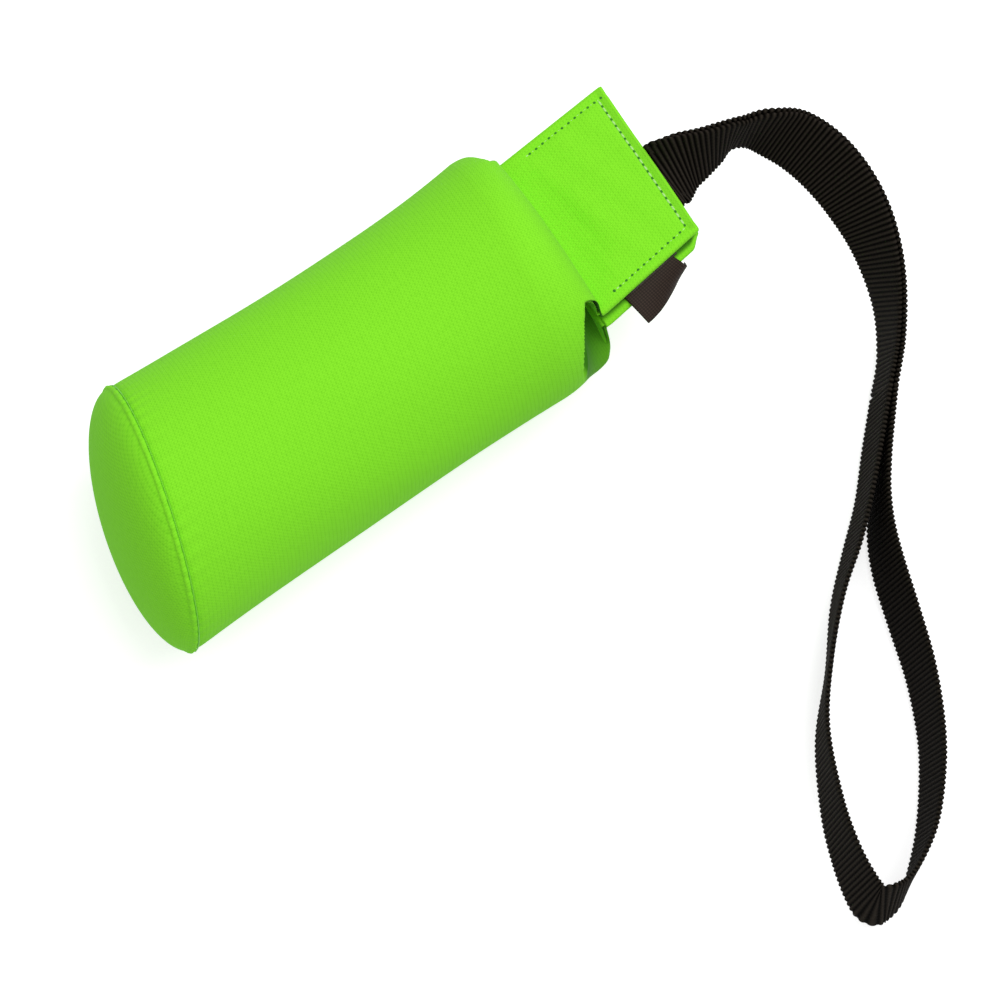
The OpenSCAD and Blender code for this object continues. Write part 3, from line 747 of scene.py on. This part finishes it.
def label_grid():
    """Closed tape folded on itself: a long flat section, bent down along a circular
    arc, whose angle grows from one end of the label to the other."""
    run = np.linspace(0, label_len, 34)[:, None]
    out = np.concatenate([np.linspace(0.3, label_out, 24), np.full(5, label_out),
                          np.linspace(label_out, 0.3, 24), np.full(3, 0.3)])
    turn = np.concatenate([np.full(24, np.pi/2), np.linspace(np.pi/2, -np.pi/2, 5),
                           np.full(24, -np.pi/2), np.linspace(-np.pi/2, -1.5*np.pi, 3)])
    bend = np.radians(mix(near_bend, far_bend, run/label_len))*out/label_out
    chord = out*np.sinc(bend/2/np.pi)
    reach = chord*np.cos(bend/2) + label_ply*np.cos(turn - bend)
    drop = chord*np.sin(bend/2) - label_ply*np.sin(turn - bend)
    along = run + label_splay*out*run/label_len
    x = label_at[0] + along*np.cos(edge_slope) + reach*np.sin(edge_slope)
    y = label_at[1] + along*np.sin(edge_slope) - reach*np.cos(edge_slope)
    z = label_at[2] - drop
    uv = np.stack(np.broadcast_arrays(run, np.linspace(0, 2*label_out, out.size + 1)), -1)
    return np.stack(np.broadcast_arrays(x, y, z), -1), uv


def label_finish():
    """Woven satin label: fine parallel yarns with a low sheen along them."""
    made, tree, shader = finish_of("woven_satin_label", {
        "Roughness": 0.6, "Specular IOR Level": 0.1})
    cloth = node(tree, "UVMap", uv_map="cloth")
    split = node(tree, "SeparateXYZ", {0: cloth.outputs[0]})
    yarn = wave_of(tree, split.outputs[1], 0.5*mm, 0.0, 0.7)
    pick = wave_of(tree, split.outputs[0], 0.7*mm, 0.3, 0.7)
    height = node(tree, "Math", {0: yarn, 1: pick}, operation="MULTIPLY")
    tint = node(tree, "Mix", {0: height.outputs[0], 6: linear(label_dark),
                              7: linear(label_brown)}, data_type="RGBA")
    bump = node(tree, "Bump", {"Height": height.outputs[0], "Strength": 0.4,
                               "Distance": 0.08*mm})
    tree.links.new(tint.outputs[2], shader.inputs["Base Color"])
    tree.links.new(bump.outputs[0], shader.inputs["Normal"])
    return made


satin = label_finish()
tape, tape_uv = label_grid()
label = surface("side_label_tape", tape*mm, tape_uv*mm, wrap_cols=True, caps=True)
label.data.materials.append(satin)
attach(label, "label")
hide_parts("side_label")

# ---------- pieces inside the bag and the tab ----------
# The raw seam allowances of the canvas, the close-woven liner, and the plastic
# granulate that it holds. None of them shows from outside.

liner_inset, fill_inset = 2.0, 2.5


def plain_finish(name, code, dark, grain, rough):
    """Plain dull material with a grain of the given size, as of cloth or pellets."""
    made, tree, shader = finish_of(name, {"Roughness": rough})
    place = node(tree, "TexCoord").outputs["Object"]
    cells = node(tree, "TexVoronoi", {"Vector": place, "Scale": 1/grain})
    tint = node(tree, "Mix", {0: cells.outputs["Distance"], 6: linear(code),
                              7: linear(dark)}, data_type="RGBA")
    bump = node(tree, "Bump", {"Height": cells.outputs["Distance"], "Strength": 0.6,
                               "Distance": grain/4}, invert=True)
    tree.links.new(tint.outputs[2], shader.inputs["Base Color"])
    tree.links.new(bump.outputs[0], shader.inputs["Normal"])
    return made


def filled(name, node_name, d, finish):
    """Closed bag inside the skin, set in by d, that ends short of its hollows."""
    grid = np.vstack([dome(d, angle)[::2], wall(np.linspace(0, 1, 40), d),
                      shoulder([0.04, 0.08], d)])[:, ::2]
    made = surface(name, grid*mm, wrap_cols=True, caps=True)
    made.data.materials.append(finish)
    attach(made, "bag")
    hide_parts(node_name)
    return made


calico = plain_finish("calico_liner", "E9E7DE", "CFCCC0", 0.6*mm, 0.85)
granulate = plain_finish("plastic_granulate", "C9C8BE", "8E8D84", 3*mm, 0.5)
filled("liner_bag", "inner_liner", liner_inset, calico)
filled("granulate", "granulate_fill", fill_inset, granulate)

raw_canvas = canvas_finish("cotton_canvas_inside", False)
inside = {
    "base_seam_allowance": raw_canvas, "side_seam_allowance": raw_canvas,
    "base_seam_thread": thread_finish("seam_thread", canvas_lime_deep),
    "strap_tack": thread_finish("black_tacking_thread", web_black),
    "label_tail": plain_finish("label_satin_inside", label_brown, label_dark,
                               0.4*mm, 0.5),
}
for name, finish in inside.items():
    frame["nodes"][name].data.materials.clear()
    frame["nodes"][name].data.materials.append(finish)

# ---------- floor and light ----------
# A white floor that the camera sees as pure white, and a broad soft light.

paper_white, floor_glow, sky_strength = 0.7, 0.6, 0.6
lamp_size, lamp_watts = 0.8, 8

floor_mesh = bpy.data.meshes.new("floor")
low = -0.15*mm
floor_mesh.from_pydata([(-4, -4, low), (4, -4, low), (4, 4, low), (-4, 4, low)], [],
                       [(0, 1, 2, 3)])
floor = bpy.data.objects.new("floor", floor_mesh)
bpy.context.collection.objects.link(floor)
paper, tree, shader = finish_of("white_paper", {"Roughness": 0.9,
                                                "Specular IOR Level": 0.1})
shader.inputs["Base Color"].default_value = (*[paper_white]*3, 1)
rays = node(tree, "LightPath")
seen = node(tree, "Math", {0: rays.outputs["Is Camera Ray"],
                           1: rays.outputs["Is Glossy Ray"]}, operation="MAXIMUM")
through = node(tree, "Math", {0: seen.outputs[0],
                              1: rays.outputs["Is Transmission Ray"]},
               operation="MAXIMUM")
glow = node(tree, "Math", {0: through.outputs[0], 1: floor_glow}, operation="MULTIPLY")
shader.inputs["Emission Color"].default_value = (1, 1, 1, 1)
tree.links.new(glow.outputs[0], shader.inputs["Emission Strength"])
floor_mesh.materials.append(paper)

world = bpy.data.worlds.new("studio")
bpy.context.scene.world = world
world.use_nodes = True
world.node_tree.nodes["Background"].inputs["Color"].default_value = (1, 1, 1, 1)
world.node_tree.nodes["Background"].inputs["Strength"].default_value = sky_strength


def softbox(name, place, size, watts, aim):
    """Square area light at a place, turned to face its aim."""
    data = bpy.data.lights.new(name, "AREA")
    data.size = size
    data.energy = watts
    made = bpy.data.objects.new(name, data)
    made.location = place
    made.rotation_mode = "QUATERNION"
    made.rotation_quaternion = (Vector(aim) - Vector(place)).to_track_quat("-Z", "Y")
    bpy.context.collection.objects.link(made)


softbox("overhead", (0.42, -0.12, 1.05), lamp_size, lamp_watts, (0.02, -0.04, 0.03))
